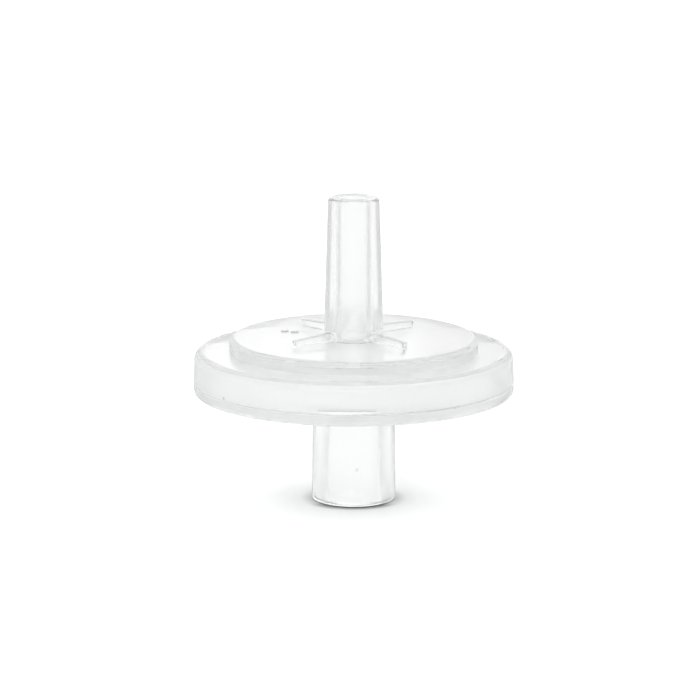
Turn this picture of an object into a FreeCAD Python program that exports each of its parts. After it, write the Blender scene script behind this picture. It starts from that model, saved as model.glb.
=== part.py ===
import FreeCAD, Part
import os
import Sketcher

# Syringe filter, in millimetres: two clear moulded shells welded round a membrane disc.
# The lower shell carries the female inlet socket, which is also the foot it stands on.
# The upper shell carries the male outlet cone. Both fittings are the standard 6 % slip taper.
# +Z is up along the axis of symmetry, and the origin is the centre of the foot.

# ---------------------------------------------------------------- driving sizes

SIZES = (
    # the two slip fittings
    ("cone_rate", 0.03, "radius that a 6 % cone loses for each millimetre"),
    ("tip_radius", 1.985, "male cone at its tip"),
    ("bore_radius", 1.05, "outlet bore"),
    ("outlet_length", 11.03, "male cone, platform to tip"),
    ("mouth_radius", 2.145, "female socket at its mouth"),
    ("socket_depth", 7.9, "female socket, mouth to end wall"),
    ("orifice_radius", 0.75, "inlet orifice, socket to chamber"),
    ("foot_radius", 3.27, "inlet tube outside, at the foot"),
    ("neck_radius", 3.2, "inlet tube outside, under the disc"),
    ("inlet_length", 8.46, "inlet tube, foot to underside of the disc"),
    # the outside of the disc
    ("rim_radius", 12.5, "skirt outside, at its lower edge"),
    ("rim_draft", 0.11, "how much the skirt draws in over its height"),
    ("flange_setback", 0.02, "lower flange inside the skirt's edge"),
    ("flange_thickness", 0.9, "lower flange, underside to seam"),
    ("seam_gap", 0.04, "open line between flange and skirt"),
    ("skirt_height", 2.46, "skirt, lower edge to ledge"),
    ("ledge_width", 2.69, "ledge between the rim and the raised platform"),
    ("platform_height", 1.01, "platform above the ledge"),
    # the ribs round the outlet's root
    ("rib_count", 4, "ribs in a cross"),
    ("rib_azimuth", 40.6, "first rib's direction in degrees from +X"),
    ("rib_reach", 6.05, "outer end of a rib from the axis"),
    ("rib_thickness", 0.5, "wall of a rib"),
    ("rib_root_height", 0.72, "rib above the platform on the axis side"),
    ("rib_end_height", 0.5, "rib above the platform at its outer end"),
    # two plain raised dashes in line on the platform
    ("dash_azimuth", 160, "the dashes' direction in degrees from +X"),
    ("dash_start", 4.66, "inner end of the first dash from the axis"),
    ("dash_length", 0.54, "one dash along its radius"),
    ("dash_width", 0.3, "one dash across its radius"),
    ("dash_pitch", 0.82, "from one dash to the next"),
    ("dash_height", 0.1, "dash above the platform"),
    # the welded joint and the membrane's seat
    ("skirt_wall", 0.6, "wall of the skirt at its lower edge"),
    ("fit_clearance", 0.05, "radial clearance where the shells plug together"),
    ("drum_height", 0.44, "welding drum above the flange"),
    ("weld_gap", 0.04, "open line that the weld bead leaves over the drum"),
    ("weld_land", 1.5, "top of the drum, from its edge to the seat ring"),
    ("bead_margin", 0.55, "weld bead clear of the seat ring"),
    ("bead_width", 0.4, "weld bead"),
    ("tongue_width", 1.35, "seat ring that plugs into the upper shell"),
    ("tongue_height", 0.45, "seat ring above the drum"),
    ("membrane_margin", 0.15, "membrane's edge inside the seat ring's"),
    ("membrane_thickness", 0.2, "membrane disc"),
    # the inlet chamber
    ("floor_thickness", 1.2, "wall under the inlet chamber"),
    ("spoke_count", 8, "spreading ribs on the chamber's floor"),
    ("spoke_start", 1.7, "inner end of a spreading rib from the axis"),
    ("spoke_thickness", 0.5, "wall of a spreading rib"),
    ("membrane_play", 0.1, "spreading ribs under the membrane"),
    # the outlet chamber
    ("channel_depth", 0.5, "collecting channels above the membrane"),
    ("ring_count", 4, "support rings that carry the membrane"),
    ("ring_start", 2.1, "inner radius of the first support ring"),
    ("ring_margin", 1.05, "last support ring to the chamber's wall"),
    ("ring_thickness", 0.6, "wall of a support ring"),
    ("channel_count", 8, "radial channels through the rings"),
    ("channel_width", 0.8, "radial channel"),
    # rounded edges
    ("tip_rounding", 0.28, "outer edge of the male tip"),
    ("root_fillet", 0.3, "male cone to platform"),
    ("platform_rounding", 0.45, "upper edge of the platform"),
    ("rim_rounding", 0.7, "upper edge of the rim"),
    ("skirt_rounding", 0.12, "lower edge of the skirt"),
    ("flange_rounding", 0.45, "lower edge of the disc"),
    ("flange_top_rounding", 0.12, "flange's edge at the seam"),
    ("neck_fillet", 0.25, "inlet tube to disc"),
    ("foot_rounding", 0.22, "outer edge of the foot"),
    ("mouth_chamfer", 0.12, "lead-in of the female socket"),
    ("rib_rounding", 0.1, "edges of the outside ribs"),
)


class Size:
    """A length that knows both its number and the sheet formula that it comes from."""

    def __init__(self, number, formula):
        self.number = float(number)
        self.formula = formula

    def __add__(self, other):
        return Size(self.number + other.number, f"({self.formula} + {other.formula})")

    def __sub__(self, other):
        return Size(self.number - other.number, f"({self.formula} - {other.formula})")

    def __mul__(self, other):
        return Size(self.number * other.number, f"({self.formula} * {other.formula})")

    def __truediv__(self, other):
        return Size(self.number / other.number, f"({self.formula} / {other.formula})")


def fill_sheet(sheet):
    """Write the driving sizes into the sheet, and return them by name."""
    sizes = {}
    for row, (alias, number, meaning) in enumerate(SIZES, start=1):
        sheet.set(f"A{row}", meaning)
        sheet.set(f"B{row}", str(number))
        sheet.setAlias(f"B{row}", alias)
        sizes[alias] = Size(number, f"{sheet.Name}.{alias}")
    return sizes


doc = FreeCAD.newDocument("SyringeFilter")
size = fill_sheet(doc.addObject("Spreadsheet::Sheet", "Sizes"))
doc.recompute()

ZERO = Size(0, "0")
HALF = Size(0.5, "0.5")
ONE = Size(1, "1")

# Heights in the lower shell, from the foot.
seam = size["inlet_length"] + size["flange_thickness"]
drum_top = seam + size["drum_height"]
seat_top = drum_top + size["tongue_height"]
chamber_floor = size["inlet_length"] + size["floor_thickness"]

# The upper shell's own zero is the lower edge of its skirt, just above the seam.
skirt_base = seam + size["seam_gap"]
bead_foot = drum_top - skirt_base
shelf = bead_foot + size["weld_gap"]
clamp_land = seat_top + size["membrane_thickness"] - skirt_base
ceiling = clamp_land + size["channel_depth"]
platform_top = size["skirt_height"] + size["platform_height"]
tip_top = platform_top + size["outlet_length"]

# Radii that follow from the rim's, from the outside inwards.
flange_radius = size["rim_radius"] - size["flange_setback"]
rim_top_radius = size["rim_radius"] - size["rim_draft"]
platform_radius = rim_top_radius - size["ledge_width"]
skirt_inside = size["rim_radius"] - size["skirt_wall"]
drum_radius = skirt_inside - size["fit_clearance"]
tongue_radius = drum_radius - size["weld_land"]
recess_radius = tongue_radius + size["fit_clearance"]
bead_inside = tongue_radius + size["bead_margin"]
bead_outside = bead_inside + size["bead_width"]
membrane_radius = tongue_radius - size["membrane_margin"]
chamber_radius = tongue_radius - size["tongue_width"]
last_ring_start = chamber_radius - size["ring_margin"] - size["ring_thickness"]
ring_pitch = (last_ring_start - size["ring_start"]) / (size["ring_count"] - ONE)

# Radii of the two fittings at the wide end of the one and the narrow end of the other.
root_radius = size["tip_radius"] + size["cone_rate"] * size["outlet_length"]
socket_end_radius = size["mouth_radius"] - size["cone_rate"] * size["socket_depth"]

# ---------------------------------------------------------------- modelling helpers


def new_body(label, base_height):
    """A body named for its piece, placed at its own height on the axis."""
    body = doc.addObject("PartDesign::Body", label)
    body.Label = label
    body.setExpression(".Placement.Base.z", base_height.formula)
    return body


def origin_feature(body, role):
    """One of the body's own origin planes or axes, by its role."""
    return next(item for item in body.Origin.OriginFeatures if item.Role == role)


def new_sketch(body, name, plane, height=ZERO, azimuth=ZERO):
    """A sketch on an origin plane, lifted along the axis or turned round it.

    The axis of symmetry is the normal of a sketch on XY_Plane, and the upward direction of a
    sketch on XZ_Plane.
    """
    sketch = body.newObject("Sketcher::SketchObject", name)
    sketch.AttachmentSupport = [(origin_feature(body, plane), "")]
    sketch.MapMode = "FlatFace"
    upward = FreeCAD.Vector(0, 0, 1) if plane == "XY_Plane" else FreeCAD.Vector(0, 1, 0)
    turn = FreeCAD.Rotation(upward, azimuth.number)
    sketch.AttachmentOffset = FreeCAD.Placement(FreeCAD.Vector(0, 0, height.number), turn)
    if height is not ZERO:
        sketch.setExpression(".AttachmentOffset.Base.z", height.formula)
    if azimuth is not ZERO:
        sketch.setExpression(".AttachmentOffset.Rotation.Angle", azimuth.formula)
    return sketch


def fix_coordinate(sketch, kind, line, distance, name):
    """Hold a line's start point at a distance from the sketch's origin, along X or Y."""
    if distance is ZERO:
        axis = -2 if kind == "DistanceX" else -1
        sketch.addConstraint(Sketcher.Constraint("PointOnObject", line, 1, axis))
        return
    index = sketch.addConstraint(Sketcher.Constraint(kind, -1, 1, line, 1, distance.number))
    sketch.renameConstraint(index, name)
    sketch.setExpression(f"Constraints.{name}", distance.formula)


def draw_outline(sketch, corners):
    """Join named corners, each (name, across, up), into a closed outline bound to the sheet."""
    points = [FreeCAD.Vector(across.number, up.number, 0) for _, across, up in corners]
    for start, end in zip(points, points[1:] + points[:1]):
        sketch.addGeometry(Part.LineSegment(start, end), False)
    for line in range(len(corners)):
        following = (line + 1) % len(corners)
        sketch.addConstraint(Sketcher.Constraint("Coincident", line, 2, following, 1))
    for line, (name, across, up) in enumerate(corners):
        fix_coordinate(sketch, "DistanceX", line, across, name + "_across")
        fix_coordinate(sketch, "DistanceY", line, up, name + "_up")


def revolve(body, name, corners):
    """Turn a half section, drawn as radius and height, into a full round of the axis."""
    sketch = new_sketch(body, name + "_section", "XZ_Plane")
    draw_outline(sketch, corners)
    turned = body.newObject("PartDesign::Revolution", name)
    turned.Profile = sketch
    turned.ReferenceAxis = (sketch, ["V_Axis"])
    turned.Angle = 360
    doc.recompute()
    return turned


def draw_bar(sketch, start, end, thickness):
    """A bar along X from start to end, half its thickness on each side of the axis."""
    half = HALF * thickness
    points = [
        FreeCAD.Vector(start.number, -half.number, 0),
        FreeCAD.Vector(end.number, -half.number, 0),
        FreeCAD.Vector(end.number, half.number, 0),
        FreeCAD.Vector(start.number, half.number, 0),
    ]
    for near, far in zip(points, points[1:] + points[:1]):
        sketch.addGeometry(Part.LineSegment(near, far), False)
    for line in range(4):
        sketch.addConstraint(Sketcher.Constraint("Coincident", line, 2, (line + 1) % 4, 1))
    for line, kind in ((0, "Horizontal"), (2, "Horizontal"), (3, "Vertical")):
        sketch.addConstraint(Sketcher.Constraint(kind, line))
    sketch.addConstraint(Sketcher.Constraint("Symmetric", 1, 1, 1, 2, -1))
    fix_coordinate(sketch, "DistanceX", 3, start, "start")
    fix_coordinate(sketch, "DistanceX", 1, end, "end")
    index = sketch.addConstraint(Sketcher.Constraint("DistanceY", 1, 1, 1, 2, thickness.number))
    sketch.renameConstraint(index, "thickness")
    sketch.setExpression("Constraints.thickness", thickness.formula)


def repeat_round_axis(body, name, feature, count):
    """Repeat a feature evenly round the axis of symmetry."""
    pattern = body.newObject("PartDesign::PolarPattern", name)
    pattern.Originals = [feature]
    pattern.Axis = (origin_feature(body, "Z_Axis"), [""])
    pattern.Angle = 360
    pattern.setExpression("Occurrences", count.formula)
    body.Tip = pattern
    doc.recompute()
    return pattern


NEAR = 1e-4


def circle_edges(feature, circles):
    """Names of the feature's edges that are full circles of the given radii and heights."""
    names = []
    for index, edge in enumerate(feature.Shape.Edges, start=1):
        if not isinstance(edge.Curve, Part.Circle):
            continue
        for radius, height in circles:
            close = abs(edge.Curve.Radius - radius.number) < NEAR
            level = abs(edge.Curve.Center.z - height.number) < NEAR
            if close and level:
                names.append(f"Edge{index}")
    return names


def dress_circle(body, base, name, kind, amount, radius, height):
    """Round or chamfer the circular edge of the given radius and height."""
    edges = circle_edges(base, [(radius, height)])
    if len(edges) != 1:
        raise RuntimeError(f"{name}: {len(edges)} edges found where one was wanted")
    dressed = body.newObject("PartDesign::" + kind, name)
    dressed.Base = (base, edges)
    dressed.setExpression("Radius" if kind == "Fillet" else "Size", amount.formula)
    doc.recompute()
    return dressed


# ---------------------------------------------------------------- lower shell


def make_inlet_housing():
    """Foot tube with its tapered socket, disc with the welding drum, and the membrane's seat."""
    body = new_body("inlet_housing", ZERO)
    shell = revolve(body, "inlet_shell", [
        ("mouth", size["mouth_radius"], ZERO),
        ("foot", size["foot_radius"], ZERO),
        ("neck", size["neck_radius"], size["inlet_length"]),
        ("disc_edge", flange_radius, size["inlet_length"]),
        ("flange_top", flange_radius, seam),
        ("drum_foot", drum_radius, seam),
        ("drum_top", drum_radius, drum_top),
        ("tongue_foot", tongue_radius, drum_top),
        ("tongue_top", tongue_radius, seat_top),
        ("seat_inside", chamber_radius, seat_top),
        ("chamber_corner", chamber_radius, chamber_floor),
        ("orifice_top", size["orifice_radius"], chamber_floor),
        ("orifice_foot", size["orifice_radius"], size["socket_depth"]),
        ("socket_end", socket_end_radius, size["socket_depth"]),
    ])
    dressings = (
        ("disc_rounding", "Fillet", size["flange_rounding"], flange_radius, size["inlet_length"]),
        ("seam_rounding", "Fillet", size["flange_top_rounding"], flange_radius, seam),
        ("neck_fillet", "Fillet", size["neck_fillet"], size["neck_radius"], size["inlet_length"]),
        ("foot_rounding", "Fillet", size["foot_rounding"], size["foot_radius"], ZERO),
        ("mouth_lead_in", "Chamfer", size["mouth_chamfer"], size["mouth_radius"], ZERO),
    )
    for name, kind, amount, radius, height in dressings:
        shell = dress_circle(body, shell, name, kind, amount, radius, height)

    # Spreading ribs stand on the chamber's floor and run into its wall.
    spoke_sketch = new_sketch(body, "spoke_plan", "XY_Plane", height=chamber_floor)
    wall_bite = size["fit_clearance"]
    draw_bar(spoke_sketch, size["spoke_start"], chamber_radius + wall_bite,
             size["spoke_thickness"])
    spoke = body.newObject("PartDesign::Pad", "spoke")
    spoke.Profile = spoke_sketch
    spoke.setExpression("Length", (seat_top - chamber_floor - size["membrane_play"]).formula)
    doc.recompute()
    repeat_round_axis(body, "spokes", spoke, size["spoke_count"])
    return body


# ---------------------------------------------------------------- membrane


def make_membrane():
    """The flat filter disc, clamped at its edge between the seat and the clamp land."""
    body = new_body("filter_membrane", seat_top)
    sketch = new_sketch(body, "membrane_plan", "XY_Plane")
    centre = FreeCAD.Vector(0, 0, 0)
    normal = FreeCAD.Vector(0, 0, 1)
    sketch.addGeometry(Part.Circle(centre, normal, membrane_radius.number), False)
    sketch.addConstraint(Sketcher.Constraint("Coincident", 0, 3, -1, 1))
    index = sketch.addConstraint(Sketcher.Constraint("Radius", 0, membrane_radius.number))
    sketch.renameConstraint(index, "radius")
    sketch.setExpression("Constraints.radius", membrane_radius.formula)
    disc = body.newObject("PartDesign::Pad", "membrane_disc")
    disc.Profile = sketch
    disc.setExpression("Length", size["membrane_thickness"].formula)
    doc.recompute()
    return body


# ---------------------------------------------------------------- upper shell


def support_rings():
    """Corners of the rings that hang from the chamber's ceiling and carry the membrane."""
    corners = []
    inner = size["ring_start"]
    for ring in range(int(size["ring_count"].number)):
        outer = inner + size["ring_thickness"]
        corners += [
            (f"ring_{ring}_inner_top", inner, ceiling),
            (f"ring_{ring}_inner_foot", inner, clamp_land),
            (f"ring_{ring}_outer_foot", outer, clamp_land),
            (f"ring_{ring}_outer_top", outer, ceiling),
        ]
        inner = inner + ring_pitch
    return corners


def make_outlet_housing():
    """Male cone on its platform, ledge, rim and skirt, with the grid and weld bead below."""
    body = new_body("outlet_housing", skirt_base)
    shell = revolve(body, "outlet_shell", [
        ("skirt_inside_foot", skirt_inside, ZERO),
        ("skirt_foot", size["rim_radius"], ZERO),
        ("rim", rim_top_radius, size["skirt_height"]),
        ("platform_foot", platform_radius, size["skirt_height"]),
        ("platform_edge", platform_radius, platform_top),
        ("cone_root", root_radius, platform_top),
        ("tip", size["tip_radius"], tip_top),
        ("tip_bore", size["bore_radius"], tip_top),
        ("bore_end", size["bore_radius"], ceiling),
        *support_rings(),
        ("chamber_corner", chamber_radius, ceiling),
        ("land_inside", chamber_radius, clamp_land),
        ("land_outside", recess_radius, clamp_land),
        ("recess_foot", recess_radius, shelf),
        ("bead_inner_top", bead_inside, shelf),
        ("bead_inner_foot", bead_inside, bead_foot),
        ("bead_outer_foot", bead_outside, bead_foot),
        ("bead_outer_top", bead_outside, shelf),
        ("shelf_outside", skirt_inside, shelf),
    ])
    dressings = (
        ("skirt_rounding", size["skirt_rounding"], size["rim_radius"], ZERO),
        ("rim_rounding", size["rim_rounding"], rim_top_radius, size["skirt_height"]),
        ("platform_rounding", size["platform_rounding"], platform_radius, platform_top),
        ("root_fillet", size["root_fillet"], root_radius, platform_top),
        ("tip_rounding", size["tip_rounding"], size["tip_radius"], tip_top),
    )
    for name, amount, radius, height in dressings:
        shell = dress_circle(body, shell, name, "Fillet", amount, radius, height)

    # Radial channels cut the rings down to the ceiling, so that every ring drains to the bore.
    channel_sketch = new_sketch(body, "channel_plan", "XY_Plane", height=clamp_land)
    draw_bar(channel_sketch, ZERO, chamber_radius, size["channel_width"])
    channel = body.newObject("PartDesign::Pocket", "channel")
    channel.Profile = channel_sketch
    channel.Reversed = True
    channel.setExpression("Length", size["channel_depth"].formula)
    doc.recompute()
    if channel.Shape.Volume >= shell.Shape.Volume:
        raise RuntimeError("the radial channel cuts nothing")
    channels = repeat_round_axis(body, "channels", channel, size["channel_count"])

    # Low ribs stand on the platform in a cross and run into the cone's root.
    rib_sketch = new_sketch(body, "rib_side", "XZ_Plane", azimuth=size["rib_azimuth"])
    draw_outline(rib_sketch, [
        ("rib_foot_inside", size["tip_radius"], platform_top),
        ("rib_foot_outside", size["rib_reach"], platform_top),
        ("rib_end", size["rib_reach"], platform_top + size["rib_end_height"]),
        ("rib_root", size["tip_radius"], platform_top + size["rib_root_height"]),
    ])
    rib = body.newObject("PartDesign::Pad", "rib")
    rib.Profile = rib_sketch
    rib.Midplane = True
    rib.setExpression("Length", size["rib_thickness"].formula)
    doc.recompute()
    if rib.Shape.Volume <= channels.Shape.Volume:
        raise RuntimeError("the rib adds nothing")
    ribs = repeat_round_axis(body, "ribs", rib, size["rib_count"])
    round_ribs(body, ribs)
    add_dashes(body)
    return body


def round_ribs(body, ribs):
    """Round the upper and outer edges of the ribs, which stand clear of the platform."""
    names = []
    for index, edge in enumerate(ribs.Shape.Edges, start=1):
        middle = edge.CenterOfMass
        reach = (middle.x ** 2 + middle.y ** 2) ** 0.5
        above = middle.z > platform_top.number + NEAR
        outside_cone = reach > root_radius.number + size["root_fillet"].number
        if above and outside_cone and isinstance(edge.Curve, Part.Line):
            names.append(f"Edge{index}")
    rounded = body.newObject("PartDesign::Fillet", "rib_rounding")
    rounded.Base = (ribs, names)
    rounded.setExpression("Radius", size["rib_rounding"].formula)
    doc.recompute()


def add_dashes(body):
    """Two plain raised dashes on the platform, one behind the other on a radius."""
    start = size["dash_start"]
    for name in ("inner_dash", "outer_dash"):
        plan = new_sketch(body, name + "_plan", "XY_Plane", platform_top, size["dash_azimuth"])
        draw_bar(plan, start, start + size["dash_length"], size["dash_width"])
        dash = body.newObject("PartDesign::Pad", name)
        dash.Profile = plan
        dash.setExpression("Length", size["dash_height"].formula)
        doc.recompute()
        start = start + size["dash_pitch"]


# ---------------------------------------------------------------- build, check, write


def check_document():
    """Stop if any object of the document failed to build."""
    for item in doc.Objects:
        failed = [state for state in item.State if state in ("Invalid", "Error")]
        if failed:
            raise RuntimeError(f"{item.Name} is {failed}")


def write_node(body):
    """Check one piece's solid and write it to its own file."""
    shape = body.Shape
    if shape.isNull() or not shape.isValid() or len(shape.Solids) != 1:
        raise RuntimeError(f"{body.Label} isn't one sound solid")
    shape.exportStep(os.path.join("parts", body.Label + ".step"))
    box = shape.BoundBox
    print(f"{body.Label}: volume {shape.Volume:.2f} mm3, height {box.ZMin:.3f} to {box.ZMax:.3f},"
          f" width {box.XLength:.3f}")


pieces = [make_inlet_housing(), make_membrane(), make_outlet_housing()]
doc.recompute()
check_document()
os.makedirs("parts", exist_ok=True)
for piece in pieces:
    write_node(piece)
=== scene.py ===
# %% [markdown]
# # A clear syringe filter
# A syringe filter is a small clear disc with a tube on each side. Liquid is pushed in through
# the wide lower socket, spreads over a white membrane inside the disc, and leaves through the
# slim cone on top. The two shells are clear polypropylene, welded together round the membrane.
#
# The shapes come from the engineering model, and this lesson doesn't change them. A clear
# object is almost all light, so the lesson is about finishes: which parts of the plastic are
# polished, which are frosted, and what stands round the object for the plastic to show.

# %% Load the model as a fixed frame
import math

import bpy
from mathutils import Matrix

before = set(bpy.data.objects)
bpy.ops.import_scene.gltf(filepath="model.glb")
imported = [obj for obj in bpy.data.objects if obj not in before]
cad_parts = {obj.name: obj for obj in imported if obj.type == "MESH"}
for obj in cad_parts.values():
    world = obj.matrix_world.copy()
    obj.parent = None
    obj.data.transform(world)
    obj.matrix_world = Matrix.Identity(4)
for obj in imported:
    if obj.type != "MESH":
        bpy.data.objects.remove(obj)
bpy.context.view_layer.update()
bpy.ops.object.select_all(action="DESELECT")
scene = bpy.context.scene
MM = 0.001  # the scene is in metres, and every size below is written in millimetres
print("nodes:", sorted(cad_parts))

# %% [markdown]
# ## Helpers for node trees
# A material is a small machine of nodes. The first helper adds a node with its settings and the
# second joins two sockets. The third does sums on numbers or sockets, whichever it is given.
# With them each recipe below reads like a list of steps.

# %% Node helpers
def add_node(tree, kind, **settings):
    node = tree.nodes.new(kind)
    for name, value in settings.items():
        setattr(node, name, value)
    return node


def join(tree, source, target):
    tree.links.new(source, target)


def sums(tree, operation, *values):
    node = add_node(tree, "ShaderNodeMath", operation=operation)
    for socket, value in zip(node.inputs, values):
        if isinstance(value, (int, float)):
            socket.default_value = value
        else:
            join(tree, value, socket)
    return node.outputs[0]


def new_material(name):
    material = bpy.data.materials.new(name)
    material.use_nodes = True
    tree = material.node_tree
    return material, tree, tree.nodes["Principled BSDF"], tree.nodes["Material Output"]


def put_on(node_name, material):
    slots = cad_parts[node_name].data.materials
    slots.clear()
    slots.append(material)
    print(node_name, "is finished in", material.name)


# %% [markdown]
# ## Masks: saying where a finish lies
# A moulded shell isn't finished alike all over. The mould is polished where the part should be
# clear, and left matt where it should be cloudy. The filter is round, so most finishes lie in a
# ring: a span of radii and a span of heights. A mask is a number that is 1 inside such a ring
# and 0 outside it. The masks read the object's own coordinates, so they hold their place on the
# piece from every side.

# %% Masks in rings, boxes and fades
def between(tree, value, low, high):
    """1 where a value lies between two sizes in millimetres, and 0 elsewhere."""
    above = sums(tree, "GREATER_THAN", value, low * MM)
    return sums(tree, "MULTIPLY", above, sums(tree, "LESS_THAN", value, high * MM))


def ramp(tree, value, start, end):
    """0 at the start and 1 at the end, with a soft change from one to the other."""
    node = add_node(tree, "ShaderNodeMapRange", interpolation_type="SMOOTHSTEP")
    node.inputs["From Min"].default_value = start
    node.inputs["From Max"].default_value = end
    join(tree, value, node.inputs["Value"])
    return node.outputs["Result"]


def shell_coordinates(tree):
    """The place on the shell: the whole vector, its x, y and z, and its radius from the axis."""
    place = add_node(tree, "ShaderNodeTexCoord").outputs["Object"]
    split = add_node(tree, "ShaderNodeSeparateXYZ")
    join(tree, place, split.inputs[0])
    across = sums(tree, "MULTIPLY", split.outputs["X"], split.outputs["X"])
    along = sums(tree, "MULTIPLY", split.outputs["Y"], split.outputs["Y"])
    radius = sums(tree, "SQRT", sums(tree, "ADD", across, along))
    return place, split.outputs["X"], split.outputs["Y"], split.outputs["Z"], radius


# %% [markdown]
# ## The finishes of the clear shells
# Each finish has four numbers. Roughness is how much it blurs what is seen in it. Transmission
# is how much light goes through; the rest is scattered, which makes the plastic milky.
# Coat is a thin polished skin over a cloudy body, and it gives sharp gloss on a blurred inside.
# Tint is how much light the surface keeps. Where it is low on the platform, the rim's upper
# edge, the cone's root, the ribs and the back of the disc, it is painted shade.
#
# The two tubes are polished and almost clear. The disc is cloudy under a glossy skin, because
# its walls are thick and its inside is full of ribs. The chamber's inner faces are matt white
# to the eye, since the membrane and the spreading ribs fill it.

# %% Rings of finish on the shells
POLISHED = (0.15, 0.92, 0.0, 0.995)
# ring: radius from and to, height from and to, then roughness, transmission, coat and tint
RINGS = {
    "cone_bore": (0.6, 1.25, 11.0, 23.89, (0.26, 0.94, 0.0, 0.998)),
    "socket_bore": (1.0, 2.3, 0.02, 8.3, (0.3, 0.9, 0.0, 0.998)),
    "socket_wall": (2.4, 3.5, -0.1, 8.4, (0.16, 0.86, 0.0, 0.998)),
    "disc": (0, 13, 8.40, 12.88, (0.32, 0.95, 1.0, 0.998)),
    "rim_side": (12.0, 13, 9.38, 11.62, (0.42, 0.76, 1.0, 0.998)),
    "weld_flange": (11.9, 13, 8.40, 9.38, (0.33, 0.78, 1.0, 0.92)),
    "seam_edges": (12.2, 13, 9.27, 9.52, (0.42, 0.76, 0.0, 0.92)),
    "ledge": (9.8, 12.0, 11.8, 11.9, (0.32, 0.8, 1.0, 0.998)),
    # the low tints of the rim's upper edge, the platform's side and edge and the cone's root are
    # painted shade
    "rim_edge": (11.6, 13, 11.62, 11.87, (0.2, 0.9, 1.0, 0.86)),
    "platform_side": (9.6, 9.8, 11.87, 12.5, (0.35, 0.85, 1.0, 0.86)),
    "platform_edge": (9.24, 9.8, 12.41, 12.865, (0.15, 0.9, 1.0, 0.88)),
    "cone_root": (2.05, 2.7, 12.86, 12.98, (0.15, 0.8, 0.0, 0.75)),
    "chamber": (1.2, 11.95, 9.38, 11.01, (0.6, 0.1, 0.0, 0.998)),
}
# fade: what it runs along, where it starts and is full, then the ring it stays in. "height" is
# the height, and "back" is the radius, at the back of the disc only. None leaves a number alone.
FADES = {
    "milky_cone_root": ("height", 16.0, 13.0, (1.2, 2.6, 12.88, 99), (0.12, 0.77, 0.0, 0.99)),
    # the grey at the cone's root and at the back of the disc is painted shade
    "grey_cone_root": ("height", 13.7, 12.9, (1.9, 2.7, 12.88, 99), (0.15, 0.8, 0.0, 0.87)),
    "painted_shade_back_of_disc": ("back", 6.0, 9.6, (4.0, 13, 11.8, 12.88), (None, None, 0.3, 0.74)),
}
print(len(RINGS), "rings and", len(FADES), "fades")

# %% [markdown]
# ## Small marks, with painted shade and highlights
# Two short raised dashes stand on the platform, painted grey as shade where their ends turn the
# light away. In front a short dark line on the skirt is a painted shadow, over a bright lip that
# is a painted highlight. The ribs have painted shade along their top edges. Two specks on the
# socket, two cloudy spots on the rim and a nick on the cone are what handling left.

# %% Dashes, painted shadow and highlight lines, and specks
# box: x from and to, y from and to, z from and to, then the finish
BOXES = {
    # the grey of the dashes is painted shade
    "dashes": (-6.3, -3.9, 1.2, 2.4, 12.875, 13.0, (0.4, 0.45, 0.0, 0.6)),
    # a painted shadow line in front, over a painted highlight as a bright lip
    "painted_shadow_line": (-2.7, 1.7, -13, -11, 9.66, 9.74, (0.4, 0.6, 0.0, 0.66)),
    "painted_highlight_lip": (-2.7, 1.3, -13, -11, 9.44, 9.62, (0.4, 0.2, 1.0, 1.0)),
}
# rib tops, darkened as painted shade: their fall per millimetre outwards, the height they start
# from at the axis, then radius from and to, height from and to, and the finish
RIB_TOP_SHADE = (0.0537, 13.61, (2.4, 6.1, 12.9, 14), (0.2, 0.85, 0.0, 0.72))
# speck: x, y, z and size in millimetres
SPECKS = (
    (0.24, -3.19, 2.98, 0.17),
    (0.06, -3.20, 2.62, 0.08),
    (-2.02, -0.4, 18.3, 0.18),
    (-9.95, -7.54, 9.62, 0.17),
    (7.7, -9.8, 9.4, 0.14),
)
SPECK_FINISH = (0.4, 0.6, 0.0, 0.6)
SPECK_CORE = 0.4  # the share of a speck that is at full strength
print(len(BOXES), "boxes and", len(SPECKS), "specks")

# %% [markdown]
# ## All the masks of a shell
# Each ring, fade, box and speck becomes a mask with its finish beside it, from the widest to
# the smallest. Painted shade makes the disc greyer towards its back edge. The fade for that
# counts the radius only where y lies behind the axis, so it follows the round edge and leaves
# the front alone.

# %% Masks with their finishes
BACK_SIDE = (0, 4)  # y in millimetres, where the back of the disc starts and is full


def in_ring(tree, radius, height, inner, outer, low, high):
    """1 inside a ring that is given by two radii and two heights in millimetres."""
    across = between(tree, radius, inner, outer)
    return sums(tree, "MULTIPLY", across, between(tree, height, low, high))


def shell_masks(tree, place, x, y, height, radius):
    """Every mask with its finish, from the widest to the smallest."""
    masks = [(in_ring(tree, radius, height, *item[:4]), item[4]) for item in RINGS.values()]
    back_starts, back_full = (value * MM for value in BACK_SIDE)
    back = sums(tree, "MULTIPLY", radius, ramp(tree, y, back_starts, back_full))
    runs_along = {"height": height, "back": back}
    for axis, start, full, limits, finish in FADES.values():
        fade = ramp(tree, runs_along[axis], start * MM, full * MM)
        masks.append((sums(tree, "MULTIPLY", fade, in_ring(tree, radius, height, *limits)), finish))
    # the ribs' top edges, darkened as painted shade
    slope, level, limits, finish = RIB_TOP_SHADE
    rise = sums(tree, "ADD", height, sums(tree, "MULTIPLY", radius, slope))
    top = sums(tree, "GREATER_THAN", rise, level * MM)
    masks.append((sums(tree, "MULTIPLY", top, in_ring(tree, radius, height, *limits)), finish))
    for item in BOXES.values():
        box = sums(tree, "MULTIPLY", between(tree, x, *item[0:2]), between(tree, y, *item[2:4]))
        masks.append((sums(tree, "MULTIPLY", box, between(tree, height, *item[4:6])), item[6]))
    specks = 0.0
    for *middle, size in SPECKS:
        apart = add_node(tree, "ShaderNodeVectorMath", operation="DISTANCE")
        apart.inputs[1].default_value = [value * MM for value in middle]
        join(tree, place, apart.inputs[0])
        spot = ramp(tree, apart.outputs["Value"], size * MM, size * MM * SPECK_CORE)
        specks = sums(tree, "MAXIMUM", spot, specks)
    masks.append((specks, SPECK_FINISH))
    return masks


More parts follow.
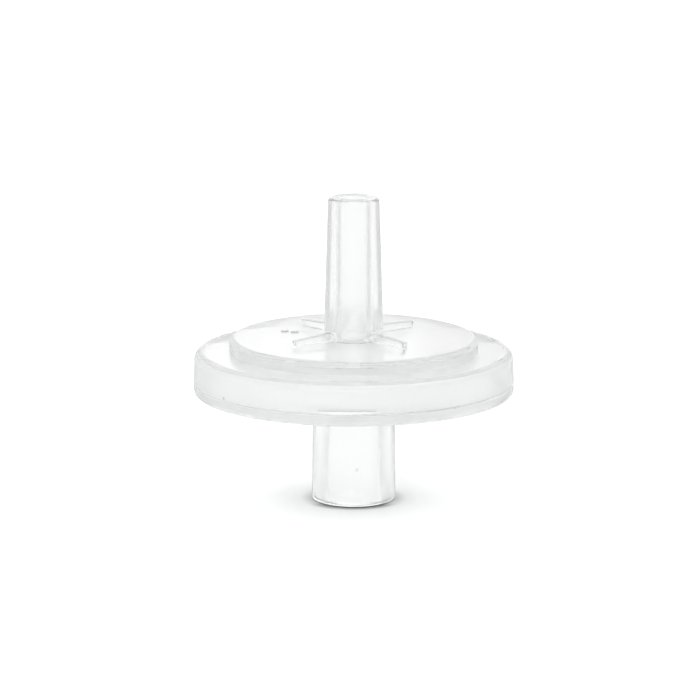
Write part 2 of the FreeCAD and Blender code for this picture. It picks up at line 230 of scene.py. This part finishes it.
# %% [markdown]
# ## Laying one finish over another
# A shell starts in the polished finish, and each mask lays its own finish over what is there,
# so a later one wins. Where a fade is halfway, the two finishes mix. The four numbers are laid
# over one at a time, since each feeds its own socket of the shader.

# %% Laying over, noise and tint
def lay_over(tree, start, masks, index):
    """One of the four numbers of a finish, changed by each mask in turn."""
    value = start[index]
    for mask, finish in masks:
        if finish[index] is None:
            continue
        step = add_node(tree, "ShaderNodeMix", data_type="FLOAT")
        if isinstance(value, float):
            step.inputs["A"].default_value = value
        else:
            join(tree, value, step.inputs["A"])
        step.inputs["B"].default_value = finish[index]
        join(tree, mask, step.inputs["Factor"])
        value = step.outputs["Result"]
    return value


def noise(tree, place, scale, detail):
    node = add_node(tree, "ShaderNodeTexNoise")
    node.inputs["Scale"].default_value = scale
    node.inputs["Detail"].default_value = detail
    join(tree, place, node.inputs["Vector"])
    return node.outputs["Fac"]


def tinted(tree, level, colour):
    """A grey level turned into a colour."""
    node = add_node(tree, "ShaderNodeVectorMath", operation="SCALE")
    node.inputs[0].default_value = colour
    join(tree, level, node.inputs["Scale"])
    return node.outputs["Vector"]


# %% [markdown]
# ## Building the clear plastic
# A slow noise bends the surface a few thousandths of a millimetre, as plastic does where it
# cools unevenly. A fine noise breaks up the roughness, and it is strongest along the rim's
# upper edge, where the filter rubs on others in the bag.
#
# Light also dims on its way through thick plastic. Absorption in the volume does that, so the
# rim is a little greyer than the thin tubes. The weld melts the two shells into one along a
# narrow ring, and there the faces are left out, as no surface is left in the real weld.

# %% Clear plastic recipe
DENSITY = 10  # of the absorption, per metre
PLASTIC_TINT = (0.996, 1.0, 0.998)
BODY_TINT = (0.90, 0.92, 0.913, 1)
PLASTIC_IOR = 1.49
SKIN_IOR, SKIN_ROUGHNESS = 1.5, 0.08
WAVES = (260, 0.00002, 0.1)  # noise scale, depth in metres, strength
SCUFFS = (2600, 0.05, 0.22)  # noise scale, share on plain faces, share along edges
RUBBED_EDGE = (12.0, 13, 11.2, 11.87)  # radius from and to, height from and to
WELD = (10.895, 11.305, 9.79, 9.81)  # the same, for the melted ring


def clear_plastic(name):
    """Clear polypropylene with its rings, marks, waves and scuffs."""
    material, tree, surface, output = new_material(name)
    place, x, y, height, radius = shell_coordinates(tree)
    masks = shell_masks(tree, place, x, y, height, radius)
    roughness = lay_over(tree, POLISHED, masks, 0)
    join(tree, lay_over(tree, POLISHED, masks, 1), surface.inputs["Transmission Weight"])
    join(tree, lay_over(tree, POLISHED, masks, 2), surface.inputs["Coat Weight"])
    tint = tinted(tree, lay_over(tree, POLISHED, masks, 3), PLASTIC_TINT)
    join(tree, tint, surface.inputs["Base Color"])

    scale, plain, edges = SCUFFS
    edge = in_ring(tree, radius, height, *RUBBED_EDGE)
    share = sums(tree, "ADD", plain, sums(tree, "MULTIPLY", edge, edges - plain))
    grain = sums(tree, "SUBTRACT", noise(tree, place, scale, detail=3), 0.5)  # round zero
    scuffed = sums(tree, "ADD", roughness, sums(tree, "MULTIPLY", grain, share))
    join(tree, scuffed, surface.inputs["Roughness"])

    scale, depth, strength = WAVES
    waves = add_node(tree, "ShaderNodeBump")
    waves.inputs["Strength"].default_value = strength
    waves.inputs["Distance"].default_value = depth
    join(tree, noise(tree, place, scale, detail=1), waves.inputs["Height"])
    join(tree, waves.outputs["Normal"], surface.inputs["Normal"])

    melted = in_ring(tree, radius, height, *WELD)
    join(tree, sums(tree, "SUBTRACT", 1.0, melted), surface.inputs["Alpha"])
    surface.inputs["IOR"].default_value = PLASTIC_IOR
    surface.inputs["Coat IOR"].default_value = SKIN_IOR
    surface.inputs["Coat Roughness"].default_value = SKIN_ROUGHNESS
    absorb = add_node(tree, "ShaderNodeVolumeAbsorption")
    absorb.inputs["Color"].default_value = BODY_TINT
    absorb.inputs["Density"].default_value = DENSITY
    join(tree, absorb.outputs["Volume"], output.inputs["Volume"])
    print(name, "has", len(tree.nodes), "nodes")
    return material


# %% [markdown]
# ## The outlet housing
# The upper shell carries the cone, the platform, the ribs and the skirt that folds down over
# the lower shell. It is one moulding, so it takes one plastic.

# %% Outlet housing
put_on("outlet_housing", clear_plastic("outlet_plastic"))

# %% [markdown]
# ## The inlet housing
# The lower shell carries the wide socket and the flange. Its plastic is the same, with a
# material of its own, so that it can be tinted apart from the other shell one day.

# %% Inlet housing
put_on("inlet_housing", clear_plastic("inlet_plastic"))

# %% [markdown]
# ## The membrane
# The membrane is a thin white sheet full of pores too small to see. It is matt, and a fine
# grain is all that shows. One noise gives the fibres, and it drives the shade, the roughness
# and the bump together, as real fibres do.

# %% Membrane finish
MEMBRANE_SHADES = ((0.93, 0.93, 0.92, 1), (0.99, 0.99, 0.985, 1))
FIBRE_SCALE = 6000
MATT = (0.82, 0.16)  # roughness, and how much the fibres add to it
PORES = (0.3, 0.01)  # bump strength, depth in mm

membrane_white, tree, surface, _ = new_material("membrane_white")
place = add_node(tree, "ShaderNodeTexCoord").outputs["Object"]
fibres = noise(tree, place, FIBRE_SCALE, detail=4)
paper = add_node(tree, "ShaderNodeMix", data_type="RGBA")
paper.inputs["A"].default_value, paper.inputs["B"].default_value = MEMBRANE_SHADES
join(tree, fibres, paper.inputs["Factor"])
join(tree, paper.outputs["Result"], surface.inputs["Base Color"])
matt = sums(tree, "ADD", MATT[0], sums(tree, "MULTIPLY", fibres, MATT[1]))
join(tree, matt, surface.inputs["Roughness"])
pores = add_node(tree, "ShaderNodeBump")
pores.inputs["Strength"].default_value = PORES[0]
pores.inputs["Distance"].default_value = PORES[1] * MM
join(tree, fibres, pores.inputs["Height"])
join(tree, pores.outputs["Normal"], surface.inputs["Normal"])
put_on("filter_membrane", membrane_white)

# %% [markdown]
# ## Keeping the membrane clear of the plastic
# The membrane lies against the plastic, and two faces in the very same place fight over the
# light. Two modifiers draw it in by a hundredth of a millimetre: Weld joins its loose
# triangles, so that they stay together, and Displace then moves every face inwards.

# %% Membrane drawn clear of the plastic
JOIN_WITHIN, DRAW_IN = 0.001, 0.01  # in mm
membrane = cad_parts["filter_membrane"]
merge = membrane.modifiers.new("join_triangles", "WELD")
merge.merge_threshold = JOIN_WITHIN * MM
relief = membrane.modifiers.new("draw_in", "DISPLACE")
relief.strength = -DRAW_IN * MM
relief.mid_level = 0.0
print("membrane drawn in by", DRAW_IN, "mm")

# %% [markdown]
# ## Dark cards for clear plastic
# Clear plastic on white is hard to see. A maker of pictures stands dark cards behind it to the
# left and right, out of view. The plastic bends them into grey lines along its edges. Here the
# cards are two sectors of the floor and of the sky, a little darker than the rest. Only light
# that has met the plastic sees them, so the open floor stays white. A second pair of sectors,
# nearer the middle, is seen only in reflections, and it draws a fine outline round each piece.

# %% Sectors behind the object
CARD_LEVEL = 0.62
CARD_SECTOR = (0.9, 1.2, 2.7, 4.0)  # sideways over backwards: soft start, start, end, soft end
MIRROR_SECTOR = (0.1, 0.2, 2.7, 4.0)
MIRROR_SHARE = 0.6
JUST_BEHIND = 0.00001  # keeps what is in front out of the sectors, and the division sound


def dark_cards(tree, coordinates, path):
    """1 in the sectors behind the object, for light that nothing has scattered yet."""
    split = add_node(tree, "ShaderNodeSeparateXYZ")
    join(tree, coordinates, split.inputs[0])
    aside = sums(tree, "ABSOLUTE", split.outputs["X"])
    slope = sums(tree, "DIVIDE", aside, sums(tree, "MAXIMUM", split.outputs["Y"], JUST_BEHIND))

    def sector(limits):
        fall = sums(tree, "SUBTRACT", 1.0, ramp(tree, slope, *limits[2:]))
        return sums(tree, "MULTIPLY", ramp(tree, slope, *limits[:2]), fall)

    gloss, through = path.outputs["Is Glossy Ray"], path.outputs["Is Transmission Ray"]
    plastic = sums(tree, "MAXIMUM", gloss, through)
    mirror = sums(tree, "MULTIPLY", gloss, sums(tree, "SUBTRACT", MIRROR_SHARE, through))
    seen = sums(tree, "MAXIMUM", sums(tree, "MULTIPLY", sector(CARD_SECTOR), plastic),
                sums(tree, "MULTIPLY", sector(MIRROR_SECTOR), mirror))
    return sums(tree, "MULTIPLY", seen, sums(tree, "LESS_THAN", path.outputs["Diffuse Depth"], 0.5))


# %% [markdown]
# ## The floor
# The filter stands on a plain white sheet. A little glow lifts the sheet to the white of the
# background. The soft grey pool round the foot is where the object hides the sky, so ambient
# occlusion measures it: a wide soft shade, and a narrow one that is darkest in front, where the
# light from behind doesn't reach. Both are shown to the camera alone, since the plastic would
# carry them up into the socket and make it look dirty inside.

# %% White floor with a soft shade
SHEET_RADIUS, SHEET_DROP = 3, 0.01  # in metres, and in mm under the foot
SHEET_WHITE = 0.95
SHEET_TINT = (0.994, 1.0, 0.999)
SOFT_SHADE = (4.5, 0.6)  # reach in mm, power
FOOT_SHADE = (1.0, 0.4, 2.6)  # reach in mm, power at the sides, power in front
FRONT = (-1.6, -3.0)  # y in mm, where the front starts and is full
OCCLUSION_SAMPLES = 12

bpy.ops.mesh.primitive_circle_add(
    vertices=128, radius=SHEET_RADIUS, fill_type="NGON", location=(0, 0, -SHEET_DROP * MM))
floor = bpy.context.object
floor.name = "floor"
floor_white, tree, surface, _ = new_material("floor_white")
place = add_node(tree, "ShaderNodeTexCoord").outputs["Object"]
path = add_node(tree, "ShaderNodeLightPath")


def shade_within(reach, power):
    node = add_node(tree, "ShaderNodeAmbientOcclusion", samples=OCCLUSION_SAMPLES)
    node.inputs["Distance"].default_value = reach * MM
    return sums(tree, "POWER", node.outputs["AO"], power)


split = add_node(tree, "ShaderNodeSeparateXYZ")
join(tree, place, split.inputs[0])
front = ramp(tree, split.outputs["Y"], FRONT[0] * MM, FRONT[1] * MM)
foot_reach, side_power, front_power = FOOT_SHADE
power = sums(tree, "ADD", side_power, sums(tree, "MULTIPLY", front, front_power - side_power))
both = sums(tree, "MULTIPLY", shade_within(*SOFT_SHADE), shade_within(foot_reach, power))
shade = add_node(tree, "ShaderNodeMix", data_type="FLOAT")
shade.inputs["A"].default_value = 1.0
join(tree, path.outputs["Is Camera Ray"], shade.inputs["Factor"])
join(tree, both, shade.inputs["B"])
shade = shade.outputs["Result"]

cards = dark_cards(tree, place, path)
level = sums(tree, "SUBTRACT", SHEET_WHITE, sums(tree, "MULTIPLY", cards, SHEET_WHITE - CARD_LEVEL))
shaded = tinted(tree, sums(tree, "MULTIPLY", level, shade), SHEET_TINT)
join(tree, shaded, surface.inputs["Base Color"])
surface.inputs["Roughness"].default_value = 1
surface.inputs["Specular IOR Level"].default_value = 0
floor.data.materials.append(floor_white)
print("floor radius:", SHEET_RADIUS, "m")

# %% [markdown]
# ## Light that the plastic lets down
# Real clear plastic lets light down to the sheet and gathers it there in bright patches. Such
# patches take very long to compute, so the sheet glows a little where they would lie: in a
# wide pool under the disc, and in a narrow ring under the foot's wall, with less inside the
# mouth. Only rays that come out of the plastic see these pools. What the camera sees directly
# has an even glow.

# %% Glow of the sheet
CAMERA_GLOW, PLASTIC_GLOW = 0.17, 0.03
GLOW_POOLS = ((12, 45, 0.12), (3.2, 3.9, 0.45), (1.9, 2.3, -0.42))  # full to, ends at, strength
plastic = sums(tree, "MAXIMUM", path.outputs["Is Glossy Ray"], path.outputs["Is Transmission Ray"])
apart = add_node(tree, "ShaderNodeVectorMath", operation="LENGTH")
join(tree, place, apart.inputs[0])
lit = PLASTIC_GLOW
for inner, outer, extra in GLOW_POOLS:
    pool = ramp(tree, apart.outputs["Value"], outer * MM, inner * MM)
    lit = sums(tree, "ADD", sums(tree, "MULTIPLY", pool, extra), lit)
glow = sums(tree, "ADD", sums(tree, "MULTIPLY", path.outputs["Is Camera Ray"], CAMERA_GLOW),
            sums(tree, "MULTIPLY", plastic, lit))
join(tree, sums(tree, "MULTIPLY", glow, shade), surface.inputs["Emission Strength"])
surface.inputs["Emission Color"].default_value = (1, 1, 1, 1)
print("the sheet glows in", len(GLOW_POOLS), "pools")

# %% [markdown]
# ## The white room
# The background is an even white, as bright as the sheet. The dark cards stand in it too.

# %% White world
world = bpy.data.worlds.new("white_room")
scene.world = world
world.use_nodes = True
tree = world.node_tree
sky = tree.nodes["Background"]
place = add_node(tree, "ShaderNodeTexCoord").outputs["Generated"]
cards = dark_cards(tree, place, add_node(tree, "ShaderNodeLightPath"))
brightness = sums(tree, "SUBTRACT", 1.0, sums(tree, "MULTIPLY", cards, 1.0 - CARD_LEVEL))
join(tree, brightness, sky.inputs["Strength"])
sky.inputs["Color"].default_value = (1, 1, 1, 1)
print("world:", world.name)

# %% [markdown]
# ## Two soft lamps
# A softbox hangs behind the filter. Its lower edge is set so that the glossy platform mirrors
# it from the middle forwards, which gives the top its white sheen while the back stays grey.
# A second, wide one stands low in front and to the left. It lifts the milky rim, the flange and
# the socket, which look down and get little light from above.

# %% Softboxes
BACK_BOX = (-0.010, 0.45, 0.204)  # places in metres
FRONT_BOX = (-0.12, -0.5, 0.09)
FRONT_AIM = 0.01  # the height in metres that the front box looks at


def softbox(name, width, height, energy, place, turn):
    data = bpy.data.lights.new(name, "AREA")
    data.shape = "RECTANGLE"
    data.size, data.size_y, data.energy = width, height, energy
    lamp = bpy.data.objects.new(name, data)
    lamp.location = place
    lamp.rotation_euler = turn
    lamp.visible_camera = False
    scene.collection.objects.link(lamp)
    print(name, "gives", energy, "W")


softbox("back_softbox", width=0.045, height=0.2, energy=0.009, place=BACK_BOX,
        turn=(-math.pi / 2, 0, 0))
aside, away, up = FRONT_BOX
softbox("front_softbox", width=0.5, height=0.16, energy=0.3, place=FRONT_BOX,
        turn=(math.atan2(-away, up - FRONT_AIM), 0, math.atan2(aside, -away)))

# %% [markdown]
# ## The camera
# A long lens looks a little down on the filter, so the round edges show as narrow ellipses.
# The colours go to the picture as they are, without a film look. Clear plastic needs many
# bounces, since a ray may cross a dozen faces before it is out again.

# %% Camera and light bounces
LENS, SENSOR = 234.0, 36
ELEVATION = math.radians(11.84)
DISTANCE = 354.69 * MM
TARGET = (-0.2915 * MM, 0, 11.826 * MM)
camera = bpy.data.objects.new("camera", bpy.data.cameras.new("camera"))
camera.data.lens = LENS
camera.data.sensor_width = SENSOR
camera.data.clip_start = 10 * MM
camera.data.clip_end = 20
camera.location = (
    TARGET[0],
    TARGET[1] - DISTANCE * math.cos(ELEVATION),
    TARGET[2] + DISTANCE * math.sin(ELEVATION),
)
camera.rotation_euler = (math.pi / 2 - ELEVATION, 0, 0)
scene.collection.objects.link(camera)
scene.camera = camera
scene.view_settings.view_transform = "Standard"
scene.cycles.blur_glossy = 0
scene.cycles.max_bounces = 32
scene.cycles.transmission_bounces = 32
scene.cycles.glossy_bounces = 16
scene.cycles.diffuse_bounces = 8
scene.cycles.transparent_max_bounces = 32
print("camera at", [round(value / MM, 1) for value in camera.location], "mm")
